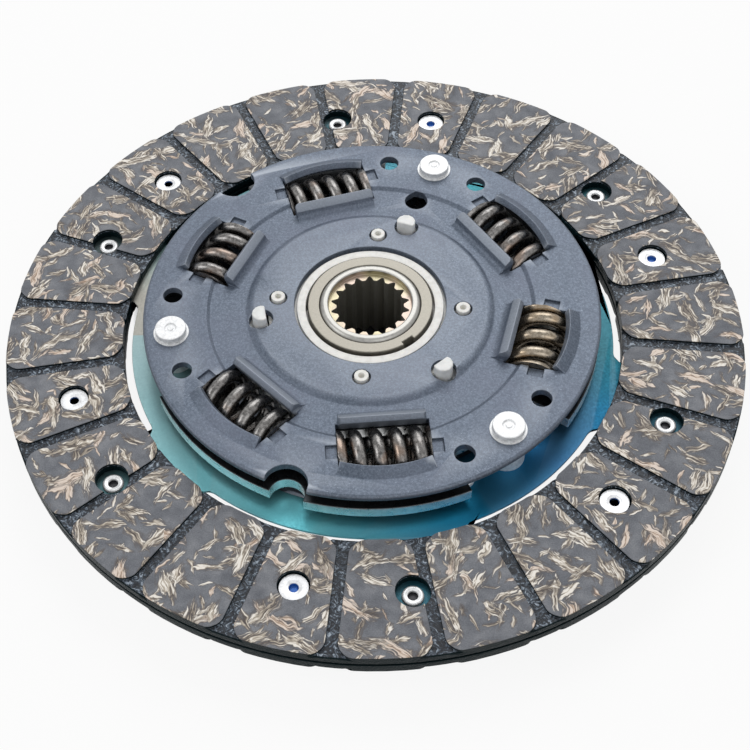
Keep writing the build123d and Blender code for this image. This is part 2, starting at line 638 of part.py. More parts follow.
def peg_outline():
    """Round, with a flat on the side that faces the hub."""
    whole = Pos(PEG_CIRCLE_R, 0) * RegularPolygon(PEG_D / 2, ROUND_SIDES)
    flat_x = PEG_CIRCLE_R - PEG_FLAT
    return whole & Pos(flat_x + PEG_D, 0) * Rectangle(2 * PEG_D, 2 * PEG_D)


def rear_bush():
    """The bush that the hub's sleeve runs in."""
    bore = HUB_SLEEVE_D / 2 + RUNNING_GAP
    collar, flange = REAR_BUSH_COLLAR_OD / 2, REAR_BUSH_FLANGE_OD / 2
    back = rear_centre_z - PLATE_T
    top = rear_centre_z + REAR_BUSH_T
    write("rear_bush", turned([
        (bore, back), (collar, back), (collar, rear_centre_z), (flange, rear_centre_z),
        (flange, top), (bore, top),
    ]))


def rear_friction_parts():
    """From the rear bush up to the hub flange: a coned spring, a tabbed washer, a friction ring."""
    z = rear_centre_z + REAR_BUSH_T
    outer, inner = BELLEVILLE_OD / 2, BELLEVILLE_ID / 2
    rise = BELLEVILLE_H - BELLEVILLE_T
    write("belleville_spring", turned([
        (inner, z), (outer, z + rise), (outer, z + BELLEVILLE_H), (inner, z + BELLEVILLE_T),
    ]))
    washer_z = z + BELLEVILLE_H
    washer = Circle(THRUST_WASHER_OD / 2) - Circle(THRUST_WASHER_ID / 2)
    tab = Rectangle(6, 8)
    tabs = [at(THRUST_WASHER_OD / 2, i * 360 / THRUST_TABS) * tab for i in range(THRUST_TABS)]
    washer += tabs
    write("thrust_washer", Pos(0, 0, washer_z) * extrude(washer, THRUST_WASHER_T))
    ring_z = washer_z + THRUST_WASHER_T
    ring_h = flange_z - FACE_GAP - ring_z
    friction_id = HUB_TOOTH_OD + 4
    write("rear_friction_ring", ring(THRUST_WASHER_OD, friction_id, ring_z, ring_h))


os.makedirs("parts", exist_ok=True)
facings_and_rivets()
cushion_disc()
front_retainer_plate()
rear_retainer_plate()
stop_pins()
cushion_disc_rivets()
damper_springs()
predamper_springs()
hub_flange()
hub()
hub_guide_ring()
front_bush()
front_friction_ring()
rear_bush()
rear_friction_parts()
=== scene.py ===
from math import cos, pi, radians, sin

import bpy
from mathutils import Matrix, Quaternion, Vector


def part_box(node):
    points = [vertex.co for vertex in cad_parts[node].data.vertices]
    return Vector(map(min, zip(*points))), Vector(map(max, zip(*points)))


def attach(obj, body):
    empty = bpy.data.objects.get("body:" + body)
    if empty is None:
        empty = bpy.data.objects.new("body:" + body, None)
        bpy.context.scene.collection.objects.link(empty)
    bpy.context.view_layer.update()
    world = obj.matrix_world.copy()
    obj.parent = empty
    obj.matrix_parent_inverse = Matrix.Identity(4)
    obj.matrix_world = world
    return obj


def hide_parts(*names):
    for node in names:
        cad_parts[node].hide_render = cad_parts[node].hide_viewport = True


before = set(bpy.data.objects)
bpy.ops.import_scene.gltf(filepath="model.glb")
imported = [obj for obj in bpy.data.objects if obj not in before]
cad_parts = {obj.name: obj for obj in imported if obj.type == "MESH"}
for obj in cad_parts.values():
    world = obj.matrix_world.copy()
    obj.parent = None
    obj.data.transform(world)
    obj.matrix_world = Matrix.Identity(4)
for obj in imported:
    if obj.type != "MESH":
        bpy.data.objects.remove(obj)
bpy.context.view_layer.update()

# Camera, floor and light. The disc lies on a plain white floor, with a painted shadow under it,
# and is seen from above its near edge. One broad soft lamp stands behind it and weaker ones
# left and front, under a white sky.
MM = 0.001
FRONT_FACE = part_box("front_facing")[1].z / MM
REAR_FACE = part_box("rear_facing")[0].z / MM
LOOK_FROM = Vector((0.0, -285.1, 348.9 + FRONT_FACE)) * MM
LOOK_AT = Vector((-21.64, -19.40, FRONT_FACE)) * MM
CAMERA_ROLL = radians(-4.571)
LENS_MM = 69.2
FRAME_SHIFT = 0.1
SKY_LIGHT = 0.32  # what the white sky adds to the lamps
FLOOR_SIZE = 6
# A dark round painted on the floor under the disc stands in for its shadow: a painted shadow.
PAINTED_SHADOW_MIDDLE = (-0.005, 0.026, 0)  # of the dark round of floor under the disc
PAINTED_SHADOW_R = 0.070
PAINTED_SHADOW_EDGE = 0.004
FLOOR_GLOW = 0.9  # share of the floor that is plain white to the camera, the rest takes shadow

bpy.ops.object.select_all(action="DESELECT")
bpy.ops.object.camera_add(location=LOOK_FROM)
camera = bpy.context.object
aim = (LOOK_AT - LOOK_FROM).to_track_quat("-Z", "Y")
camera.rotation_euler = (aim @ Quaternion((0, 0, 1), CAMERA_ROLL)).to_euler()
camera.data.lens = LENS_MM
camera.data.shift_x = FRAME_SHIFT
bpy.context.scene.camera = camera


def lamp(name, place, size, watts):
    bpy.ops.object.light_add(type="AREA", location=place)
    light = bpy.context.object
    light.name = name
    light.rotation_euler = (-Vector(place)).to_track_quat("-Z", "Y").to_euler()
    light.data.size = size
    light.data.energy = watts


lamp("lamp_behind", (0.15, 0.75, 0.85), 0.8, 5.8)
lamp("lamp_left", (-0.85, -0.15, 0.75), 0.5, 2.6)
lamp("lamp_front", (0.35, -0.75, 0.7), 0.6, 1.5)

bpy.context.scene.view_settings.view_transform = "Standard"


def give(tree, socket, value):
    """Joins another node's output to a socket, or sets the socket to a constant."""
    if isinstance(value, bpy.types.NodeSocket):
        tree.links.new(value, socket)
    else:
        socket.default_value = value


def add(tree, kind, inputs=None, **settings):
    """Adds a node with its settings and its inputs."""
    made = tree.nodes.new(kind)
    for key, value in settings.items():
        setattr(made, key, value)
    for key, value in (inputs or {}).items():
        give(tree, made.inputs[key], value)
    return made


def maths(tree, operation, a, b=0.0, clamp=False):
    made = add(tree, "ShaderNodeMath", {0: a, 1: b}, operation=operation, use_clamp=clamp)
    return made.outputs[0]


def vector_maths(tree, operation, a, b=(0, 0, 0)):
    made = add(tree, "ShaderNodeVectorMath", {0: a, 1: b}, operation=operation)
    return made.outputs["Value" if operation in ("LENGTH", "DISTANCE") else "Vector"]


def colour_mix(tree, share, a, b):
    """Colour a, passing to colour b as the share goes from 0 to 1."""
    tones = [tone if isinstance(tone, bpy.types.NodeSocket) else (*tone, 1) for tone in (a, b)]
    inputs = {0: share, 6: tones[0], 7: tones[1]}
    return add(tree, "ShaderNodeMix", inputs, data_type="RGBA").outputs[2]


sky = bpy.data.worlds.new("sky")
bpy.context.scene.world = sky
sky.use_nodes = True
tree = sky.node_tree
path = add(tree, "ShaderNodeLightPath").outputs
seen = maths(tree, "MAXIMUM", path["Is Camera Ray"], path["Is Glossy Ray"])
seen = maths(tree, "MAXIMUM", seen, path["Is Transmission Ray"])
background = tree.nodes["Background"].inputs
background["Color"].default_value = (1, 1, 1, 1)
give(tree, background["Strength"], maths(tree, "MAXIMUM", seen, SKY_LIGHT))

bpy.ops.mesh.primitive_plane_add(size=FLOOR_SIZE, location=(0, 0, 0))
floor = bpy.context.object
floor.name = "floor"
white = bpy.data.materials.new("white floor")
white.use_nodes = True
tree = white.node_tree
paint = tree.nodes["Principled BSDF"]
paint.inputs["Roughness"].default_value = 0.9
paint.inputs["Specular IOR Level"].default_value = 0.1
spot = add(tree, "ShaderNodeTexCoord").outputs["Object"]
# Inside the painted shadow the floor is near-black and does not glow.
from_middle = vector_maths(tree, "DISTANCE", spot, PAINTED_SHADOW_MIDDLE)
clear = maths(tree, "SUBTRACT", from_middle, PAINTED_SHADOW_R)
clear = maths(tree, "MULTIPLY", clear, 1 / PAINTED_SHADOW_EDGE, True)
tone = colour_mix(tree, clear, (0.03, 0.03, 0.035), (0.9, 0.9, 0.9))
give(tree, paint.inputs["Base Color"], tone)
glow = add(tree, "ShaderNodeEmission", {"Color": (1, 1, 1, 1), "Strength": 1.0})
path = add(tree, "ShaderNodeLightPath").outputs
seen = maths(tree, "MAXIMUM", path["Is Camera Ray"], path["Is Glossy Ray"])
share = maths(tree, "MULTIPLY", maths(tree, "MULTIPLY", seen, clear), FLOOR_GLOW)
above = add(tree, "ShaderNodeMixShader", {0: share, 1: paint.outputs[0], 2: glow.outputs[0]})
below = add(tree, "ShaderNodeBsdfTransparent")
side = add(tree, "ShaderNodeNewGeometry").outputs["Backfacing"]
both = add(tree, "ShaderNodeMixShader", {0: side, 1: above.outputs[0], 2: below.outputs[0]})
give(tree, tree.nodes["Material Output"].inputs["Surface"], both.outputs[0])
floor.data.materials.append(white)

# Friction facings. Each is a ring of moulded lining with 24 pads between grooves, filled with
# short pale fibres and ground flat. The grooves and the rim keep the dark skin of the mould, and
# the pads' side walls are painted near-black as shade.
PAD_CORNER_ROUND = 1.5
PAD_EDGE_ROUND = 0.22
GROOVE_DEPTH = 1.0
HOLE_BAND = (82, 110)  # radii that hold the rivet holes and no pad corner
RIVET_R = 94.3
FRONT_RIVETS = [76.4 + 60 * i for i in range(6)]
REAR_RIVETS = [36.4 + 60 * i for i in range(6)]
SEAT_DEPTH = 2.1
SEAT_D = 9.2
SEAT_DRILL_SHORT = 0.01  # a drill stops this far above the seat, which stays as it is
SEAT_DRILL_OVER = 2
ACCESS_D = 9.8
ACCESS_DRILL_MIDDLE = 2  # below the friction face
ACCESS_DRILL_REACH = 5
DRILL_SIDES = 48
DRILL_OVERSIZE = 0.03  # on the radius, so that no corner of the solid's hole is left
FLAT_ANGLE = 0.3
GROOVE_FLOOR_R = 113.6  # the dark rim starts here
TUFTS = (  # where each layer starts, the size of its cells, and its tufts' length and width
    ((13.0, 7.0, 0.0), 6.0, 3.5, 0.75),
    ((41.0, 83.0, 0.0), 8.6, 5.9, 1.4),
    ((-57.0, 29.0, 0.0), 10.5, 7.4, 1.85),
    ((151.0, -77.0, 0.0), 13.0, 9.6, 2.4),
)
FIBRE_STRETCH = (0.13, 1.65, 1.0)


def alone(piece):
    """Selects one object only and makes it the active one."""
    bpy.ops.object.select_all(action="DESELECT")
    piece.select_set(True)
    bpy.context.view_layer.objects.active = piece


def edit(piece, mode):
    """Clears the selection of verts, edges or faces, so that a test can select some."""
    alone(piece)
    bpy.ops.object.mode_set(mode="EDIT")
    bpy.ops.mesh.select_mode(type=mode)
    bpy.ops.mesh.select_all(action="DESELECT")
    bpy.ops.object.mode_set(mode="OBJECT")


def edit_all(piece):
    """Starts edit mode with the whole piece selected."""
    alone(piece)
    bpy.ops.object.mode_set(mode="EDIT")
    bpy.ops.mesh.select_all(action="SELECT")


def merge(piece, gap):
    """Joins points that lie closer than the gap, in millimetres, and flat neighbouring faces."""
    edit_all(piece)
    bpy.ops.mesh.remove_doubles(threshold=gap * MM)
    bpy.ops.mesh.dissolve_limited(angle_limit=radians(FLAT_ANGLE))
    bpy.ops.object.mode_set(mode="OBJECT")


def worked_copy(node, name):
    """A copy of a node's solid, its loose triangles merged into whole faces."""
    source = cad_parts[node]
    piece = source.copy()
    piece.data = source.data.copy()
    piece.parent = None
    piece.name = name
    bpy.context.scene.collection.objects.link(piece)
    piece.data.materials.clear()
    merge(piece, 0.001)
    return piece


def polar(radius, angle, z=0.0):
    return Vector((radius * cos(radians(angle)), radius * sin(radians(angle)), z)) * MM


def round_holes(piece, diameter, radius, angles, low, high):
    """Opens the solid's many-sided holes out to true circles."""
    bpy.ops.object.select_all(action="DESELECT")
    drills = []
    for angle in angles:
        bpy.ops.mesh.primitive_cylinder_add(
            vertices=DRILL_SIDES, radius=(diameter / 2 + DRILL_OVERSIZE) * MM,
            depth=(high - low) * MM, location=polar(radius, angle, (low + high) / 2),
            rotation=(0, 0, radians(angle)),
        )
        drills.append(bpy.context.object)
    for drill in drills:
        drill.select_set(True)
    bpy.ops.object.join()
    drill = bpy.context.object
    alone(piece)
    bpy.ops.object.modifier_add(type="BOOLEAN")
    cut = piece.modifiers[-1]
    cut.operation = "DIFFERENCE"
    cut.solver = "EXACT"
    cut.object = drill
    bpy.ops.object.modifier_apply(modifier=cut.name)
    bpy.data.objects.remove(drill, do_unlink=True)
    merge(piece, 0.02)


def bevel_where(piece, test, width, segments):
    """Rounds the edges whose two ends pass the test, given in millimetres."""
    edit(piece, "EDGE")
    mesh = piece.data
    for e in mesh.edges:
        a, b = (mesh.vertices[i].co / MM for i in e.vertices)
        e.select = test(a, b)
    bpy.ops.object.mode_set(mode="EDIT")
    bpy.ops.mesh.bevel(
        offset=width * MM, segments=segments, affect="EDGES", clamp_overlap=False
    )
    bpy.ops.object.mode_set(mode="OBJECT")


def smooth(piece, angle=40):
    alone(piece)
    bpy.ops.object.shade_smooth_by_angle(angle=radians(angle))
    bpy.ops.object.modifier_add(type="WEIGHTED_NORMAL")
    even = piece.modifiers[-1]
    even.keep_sharp = True
    bpy.ops.object.modifier_apply(modifier=even.name)


def soften(piece, width, segments=2, angle=32):
    """Rounds all sharp edges a little, and shades the rest smooth."""
    alone(piece)
    bpy.ops.object.modifier_add(type="BEVEL")
    round_off = piece.modifiers[-1]
    round_off.width = width * MM
    round_off.segments = segments
    round_off.limit_method = "ANGLE"
    round_off.angle_limit = radians(angle)
    round_off.use_clamp_overlap = False
    bpy.ops.object.modifier_apply(modifier=round_off.name)
    smooth(piece)


def finished(piece, material, body, node):
    """Gives a piece its material and its body, and hides the node that it stands for."""
    piece.data.materials.clear()
    piece.data.materials.append(material)
    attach(piece, body)
    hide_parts(node)


def new_material(name):
    """A material, with its nodes, its shader, and the place on the piece in millimetres."""
    material = bpy.data.materials.new(name)
    material.use_nodes = True
    tree = material.node_tree
    place = add(tree, "ShaderNodeTexCoord").outputs["Object"]
    place = add(
        tree, "ShaderNodeVectorMath", {0: place, "Scale": 1 / MM}, operation="SCALE"
    ).outputs[0]
    return material, tree, tree.nodes["Principled BSDF"], place


def surface(tree, shader, colour, roughness, height, strength, depth):
    """Gives a shader its colour, its roughness and a relief of this depth in millimetres."""
    give(tree, shader.inputs["Base Color"], colour)
    give(tree, shader.inputs["Roughness"], roughness)
    relief = {"Height": height, "Strength": strength, "Distance": depth * MM}
    give(tree, shader.inputs["Normal"], add(tree, "ShaderNodeBump", relief).outputs[0])


def noise(tree, place, scale, detail=3.0, roughness=0.5, distortion=0.0):
    inputs = {
        "Vector": place, "Scale": scale, "Detail": detail, "Roughness": roughness,
        "Distortion": distortion,
    }
    return add(tree, "ShaderNodeTexNoise", inputs).outputs


def ramp(tree, value, *stops):
    """A run of colours, given as (place, colour) stops."""
    made = add(tree, "ShaderNodeValToRGB", {0: value})
    band = made.color_ramp
    while len(band.elements) < len(stops):
        band.elements.new(1.0)
    for element, (place, tone) in zip(band.elements, stops):
        element.position = place
        element.color = (*tone, 1)
    return made.outputs[0]


def between(tree, value, low, high, to_low=0.0, to_high=1.0):
    """The value's place between low and high, eased at both ends."""
    inputs = {0: value, 1: low, 2: high, 3: to_low, 4: to_high}
    return add(tree, "ShaderNodeMapRange", inputs, interpolation_type="SMOOTHSTEP").outputs[0]


def axes_of(tree, place):
    return add(tree, "ShaderNodeSeparateXYZ", {0: place}).outputs


def radius_of(tree, place):
    """The distance from the disc's axis."""
    return vector_maths(tree, "LENGTH", vector_maths(tree, "MULTIPLY", place, (1, 1, 0)))


def fibre_layer(tree, place, start, cell, length, width):
    """One tuft of short parallel fibres in each cell, each tuft turned its own way."""
    moved = vector_maths(tree, "ADD", place, start)
    wander = noise(tree, moved, 0.16, 2.0)["Color"]
    wander = vector_maths(tree, "SUBTRACT", wander, (0.5, 0.5, 0.5))
    wander = vector_maths(tree, "MULTIPLY", wander, (5.0, 5.0, 5.0))
    bent = vector_maths(tree, "ADD", moved, wander)
    cells = {"Vector": bent, "Scale": 1 / cell}
    cells = add(tree, "ShaderNodeTexVoronoi", cells, voronoi_dimensions="2D").outputs
    from_middle = vector_maths(tree, "SUBTRACT", bent, cells["Position"])
    dice = add(tree, "ShaderNodeSeparateColor", {0: cells["Color"]}).outputs
    turn = {"Vector": from_middle, "Angle": maths(tree, "MULTIPLY", dice[0], 2 * pi)}
    along = add(tree, "ShaderNodeVectorRotate", turn, rotation_type="Z_AXIS").outputs[0]
    axes = axes_of(tree, along)
    reach = {0: dice[1], 1: length * 0.5, 2: length * 0.55}
    reach = add(tree, "ShaderNodeMath", reach, operation="MULTIPLY_ADD").outputs[0]
    end = maths(tree, "DIVIDE", axes[0], reach)
    end = maths(tree, "MULTIPLY", end, end)
    side = maths(tree, "ABSOLUTE", maths(tree, "DIVIDE", axes[1], width))
    body = maths(tree, "SUBTRACT", maths(tree, "SUBTRACT", 1.0, end), side)
    stretched = vector_maths(tree, "MULTIPLY", along, FIBRE_STRETCH)
    own = vector_maths(tree, "MULTIPLY", cells["Color"], (40.0, 40.0, 40.0))
    strands = noise(tree, vector_maths(tree, "ADD", stretched, own), 1.1, 2.0, 0.6)["Fac"]
    there = maths(tree, "ADD", body, maths(tree, "MULTIPLY", strands, 2.2))
    cover = between(tree, there, 1.35, 1.75)
    halo = between(tree, there, 0.95, 1.4)
    # Over the fibres' own pale tone, the dark brown low end is painted shade between strands and
    # the near-white high end is a painted glint.
    pale = ramp(
        tree, maths(tree, "ADD", strands, maths(tree, "MULTIPLY", dice[2], 0.16)),
        (0.44, (0.08, 0.065, 0.06)), (0.52, (0.26, 0.22, 0.18)), (0.60, (0.56, 0.49, 0.40)),
        (0.71, (1.0, 0.95, 0.87)),
    )
    copper = maths(tree, "MULTIPLY", between(tree, dice[2], 0.80, 0.84), 0.35)
    return cover, halo, colour_mix(tree, copper, pale, (0.62, 0.36, 0.23)), strands


def lining(name, face, towards):
    """Ground lining: grey binder with fibre tufts on the pads and dark skin below them, with
    painted shade on the pads' side walls.
    """
    material, tree, shader, place = new_material(name)
    mottle = noise(tree, place, 0.22, 3.0)["Fac"]
    grain = noise(tree, place, 2.6, 4.0, 0.7)["Fac"]
    cloud = maths(
        tree, "ADD", maths(tree, "MULTIPLY", mottle, 0.5), maths(tree, "MULTIPLY", grain, 0.5)
    )
    binder = ramp(
        tree, cloud, (0.36, (0.125, 0.133, 0.152)), (0.50, (0.192, 0.202, 0.225)),
        (0.64, (0.28, 0.288, 0.31)),
    )
    height = maths(tree, "MULTIPLY", grain, 0.25)
    fibres = 0.0
    for start, cell, length, width in TUFTS:
        cover, halo, tone, strands = fibre_layer(tree, place, start, cell, length, width)
        shadow = maths(tree, "MULTIPLY", halo, 0.55)
        binder = colour_mix(tree, shadow, binder, (0.12, 0.10, 0.09))
        binder = colour_mix(tree, cover, binder, tone)
        fibres = maths(tree, "MAXIMUM", fibres, cover)
        height = maths(tree, "ADD", height, maths(tree, "MULTIPLY", cover, strands))
    depth = maths(tree, "SUBTRACT", face, axes_of(tree, place)[2])
    depth = maths(tree, "MULTIPLY", depth, towards)
    wrinkles = noise(tree, place, 0.45, 4.0, 0.6, 2.4)["Fac"]
    skin = ramp(
        tree, wrinkles, (0.44, (0.006, 0.009, 0.014)), (0.52, (0.03, 0.04, 0.056)),
        (0.59, (0.13, 0.165, 0.21)), (0.67, (0.46, 0.53, 0.61)),
    )
    groove = maths(
        tree, "MULTIPLY", between(tree, depth, 0.7, 0.85), between(tree, depth, 1.2, 1.08)
    )
    inside = between(tree, radius_of(tree, place), GROOVE_FLOOR_R + 0.2, GROOVE_FLOOR_R - 0.2)
    groove = maths(tree, "MULTIPLY", groove, inside)
    # Near-black below the pads away from the groove floor: the mould's dark skin on the rim, and
    # painted shade on the pads' side walls.
    skin = colour_mix(tree, groove, (0.002, 0.009, 0.011), skin)
    below = between(tree, depth, 0.12, 0.22)
    pad_roughness = between(tree, fibres, 0.0, 1.0, 0.70, 0.42)
    roughness = add(tree, "ShaderNodeMix", {0: below, 2: pad_roughness, 3: 0.36}).outputs[0]
    wall = maths(tree, "SUBTRACT", below, groove)
    give(tree, shader.inputs["Specular IOR Level"], between(tree, wall, 0.0, 1.0, 0.3, 0.06))
    folds = maths(tree, "MULTIPLY", below, maths(tree, "MULTIPLY", wrinkles, 4.0))
    relief = maths(tree, "ADD", height, folds)
    surface(tree, shader, colour_mix(tree, below, binder, skin), roughness, relief, 0.5, 0.12)
    return material


def facing(node, face, towards, own_rivets, other_rivets):
    piece = worked_copy(node, node + "_pads")

    def pad_corner(a, b):
        upright = (a.xy - b.xy).length < 0.01 and abs(abs(a.z - b.z) - GROOVE_DEPTH) < 0.02
        middle = face - towards * GROOVE_DEPTH / 2
        at_pad = abs((a.z + b.z) / 2 - middle) < 0.1
        return upright and at_pad and not HOLE_BAND[0] < a.xy.length < HOLE_BAND[1]

    bevel_where(piece, pad_corner, PAD_CORNER_ROUND, 4)
    seat = face - towards * (SEAT_DEPTH - SEAT_DRILL_SHORT)
    ends = sorted((seat, face + SEAT_DRILL_OVER * towards))
    round_holes(piece, SEAT_D, RIVET_R, own_rivets, *ends)
    middle = face - towards * ACCESS_DRILL_MIDDLE
    ends = middle - ACCESS_DRILL_REACH, middle + ACCESS_DRILL_REACH
    round_holes(piece, ACCESS_D, RIVET_R, other_rivets, *ends)
    soften(piece, PAD_EDGE_ROUND)
    finished(piece, lining(node + " lining", face, towards), "disc", node)


facing("front_facing", FRONT_FACE, 1, FRONT_RIVETS, REAR_RIVETS)
facing("rear_facing", REAR_FACE, -1, REAR_RIVETS, FRONT_RIVETS)

# Facing rivets. Six plated tubular rivets from each side: a flat flange in the pad's seat, a bore
# down the middle, and the far end rolled over on the cushion disc, seen down the access holes.
RIVET_SHANK_D = 5.0
RIVET_FLANGE_D = 8.4
RIVET_FLANGE_T = 0.6
RIVET_FLANGE_RING = 1.8  # the flange's flat ring, round a shallow dish
RIVET_DISH_DEPTH = 0.1
RIVET_DISH_RING = 0.75  # and the dish's, round the bore
RIVET_BORE_DEPTH = 1.3
RIVET_ROLL_D = 6.3
RIVET_ROLL_H = 0.9
RIVET_ROLL_ROUND = 0.7
RIVET_LIP_RING = 0.28
RIVET_LIP_H = 0.25
RIVET_END_RING = 0.2
RIVET_END_DEPTH = 1.4
BORE_TINT_START = 0.25  # above the flange's seat
CUSHION_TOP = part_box("cushion_disc")[1].z / MM
CUSHION_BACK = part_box("cushion_disc")[0].z / MM


def cylinder(name, diameter, low, high):
    """A round bar on the disc's axis between two heights, in millimetres."""
    bpy.ops.object.select_all(action="DESELECT")
    bpy.ops.mesh.primitive_cylinder_add(
        vertices=48, radius=diameter / 2 * MM, depth=(high - low) * MM,
        location=(0, 0, (low + high) / 2 * MM),
    )
    piece = bpy.context.object
    piece.name = name
    bpy.ops.object.transform_apply(location=True, rotation=True, scale=True)
    return piece


def pick_end(piece, height):
    """Selects the level faces at this height, and stays in edit mode."""
    edit(piece, "FACE")
    for face in piece.data.polygons:
        face.select = abs(face.normal.z) > 0.9 and abs(face.center.z / MM - height) < 0.01
    bpy.ops.object.mode_set(mode="EDIT")


def move_end(rise):
    bpy.ops.mesh.extrude_region_move(TRANSFORM_OT_translate={"value": (0, 0, rise * MM)})


def sink(piece, height, ring_width, depth, narrowing=1.0):
    """Insets a round end face by a ring's width and pushes the rest down, or up if negative."""
    pick_end(piece, height)
    bpy.ops.mesh.inset(thickness=ring_width * MM)
    move_end(-depth)
    if narrowing != 1.0:
        bpy.ops.transform.resize(value=(narrowing, narrowing, 1))
    bpy.ops.object.mode_set(mode="OBJECT")


def grow(piece, height, diameter, new_diameter, rise):
    """Carries an end face on at another diameter."""
    pick_end(piece, height)
    move_end(0)
    scale = new_diameter / diameter
    bpy.ops.transform.resize(value=(scale, scale, 1))
    move_end(rise)
    bpy.ops.object.mode_set(mode="OBJECT")


def level(height):
    """A test for edges that lie level at this height."""
    return lambda a, b: abs(a.z - height) < 0.01 and abs(b.z - height) < 0.01


def joined(name, pieces):
    bpy.ops.object.select_all(action="DESELECT")
    for piece in pieces:
        piece.select_set(True)
    bpy.context.view_layer.objects.active = pieces[0]
    bpy.ops.object.join()
    whole = bpy.context.object
    whole.name = name
    return whole


def placed_copy(piece, name, radius, angle):
    """A copy with its own mesh, moved out along X and then turned about the disc's axis."""
    copy = piece.copy()
    copy.data = piece.data.copy()
    copy.name = name
    bpy.context.scene.collection.objects.link(copy)
    turn = Matrix.Rotation(radians(angle), 4, "Z")
    copy.data.transform(turn @ Matrix.Translation((radius * MM, 0, 0)))
    return copy


def rivet_set(rivet, name, radius, angles):
    return joined(name, [placed_copy(rivet, "rivet", radius, angle) for angle in angles])


def turn_over(piece, about):
    """Turns a piece over about a level line at this height."""
    up = Matrix.Translation((0, 0, about * MM))
    piece.data.transform(up @ Matrix.Rotation(pi, 4, "X") @ up.inverted())


def facing_rivet(name):
    seat = FRONT_FACE - SEAT_DEPTH
    top = seat + RIVET_FLANGE_T
    rivet = cylinder(name, RIVET_SHANK_D, CUSHION_BACK, seat)
    grow(rivet, seat, RIVET_SHANK_D, RIVET_FLANGE_D, RIVET_FLANGE_T)
    sink(rivet, top, RIVET_FLANGE_RING, RIVET_DISH_DEPTH, 0.93)
    sink(rivet, top - RIVET_DISH_DEPTH, RIVET_DISH_RING, RIVET_BORE_DEPTH, 0.75)
    grow(rivet, CUSHION_BACK, RIVET_SHANK_D, RIVET_ROLL_D, -RIVET_ROLL_H)
    roll = CUSHION_BACK - RIVET_ROLL_H
    at_roll = level(roll)
    bevel_where(rivet, lambda a, b: at_roll(a, b) and a.xy.length > 3, RIVET_ROLL_ROUND, 4)
    sink(rivet, roll, RIVET_LIP_RING, -RIVET_LIP_H, 0.8)
    sink(rivet, roll + RIVET_LIP_H, RIVET_END_RING, -RIVET_END_DEPTH, 0.85)
    soften(rivet, 0.07, 2, 50)
    return rivet


def shades(tree, value, tone, *stops):
    """A run of one tone, lighter or darker by the factor in each (place, factor) stop."""
    run = [(place, tuple(min(1.0, factor * c) for c in tone)) for place, factor in stops]
    return ramp(tree, value, *run)


def plated(name, tone, roughness, bore_colour=None, low=0.0, high=0.0):
    """Bright zinc plate, faintly clouded, with another colour in the bore between two heights."""
    material, tree, shader, place = new_material(name)
    clouds = noise(tree, place, 0.9, 4.0, 0.6, 0.6)["Fac"]
    shade = shades(tree, clouds, tone, (0.38, 0.80), (0.55, 1.0), (0.7, 1.05))
    if bore_colour:
        height = axes_of(tree, place)[2]
        bore = maths(
            tree, "MULTIPLY", maths(tree, "LESS_THAN", height, high),
            maths(tree, "GREATER_THAN", height, low),
        )
        shade = colour_mix(tree, bore, shade, bore_colour)
    shader.inputs["Metallic"].default_value = 0.35
    polish = between(tree, clouds, 0.3, 0.7, roughness, roughness + 0.15)
    scratches = noise(tree, place, 6.0, 3.0, 0.6)["Fac"]
    surface(tree, shader, shade, polish, scratches, 0.15, 0.02)
    return material


one_rivet = facing_rivet("one facing rivet")
from_front = rivet_set(one_rivet, "front_facing_rivets_set", RIVET_R, FRONT_RIVETS)
front_zinc = plated(
    "front rivet plate", (0.90, 0.91, 0.93), 0.32, (0.02, 0.11, 0.40),
    CUSHION_BACK + 0.1, FRONT_FACE - SEAT_DEPTH + BORE_TINT_START,
)
finished(from_front, front_zinc, "disc", "front_facing_rivets")
turn_over(one_rivet, (FRONT_FACE + REAR_FACE) / 2)
from_rear = rivet_set(one_rivet, "rear_facing_rivets_set", RIVET_R, REAR_RIVETS)
# The rear rivets' bores are near-black: painted shade down the bore.
rear_zinc = plated(
    "rear rivet plate", (0.88, 0.89, 0.90), 0.28, (0.02, 0.02, 0.025),
    REAR_FACE + SEAT_DEPTH - BORE_TINT_START, CUSHION_TOP + 0.05,
)
finished(from_rear, rear_zinc, "disc", "rear_facing_rivets")
bpy.data.objects.remove(one_rivet, do_unlink=True)

# Cushion disc. One stamping of tempered spring steel that the facings are riveted to. Heat has
# coloured it teal to deep blue, with a brown patch on the left, and its cut edges are brighter.
# On the right, under the plate, and under the facings it is darkened with painted shade.
OPENING_CORNER_ROUND = 1.7
OPENING_BAND = (73, 83)  # radii that hold the corners of its openings


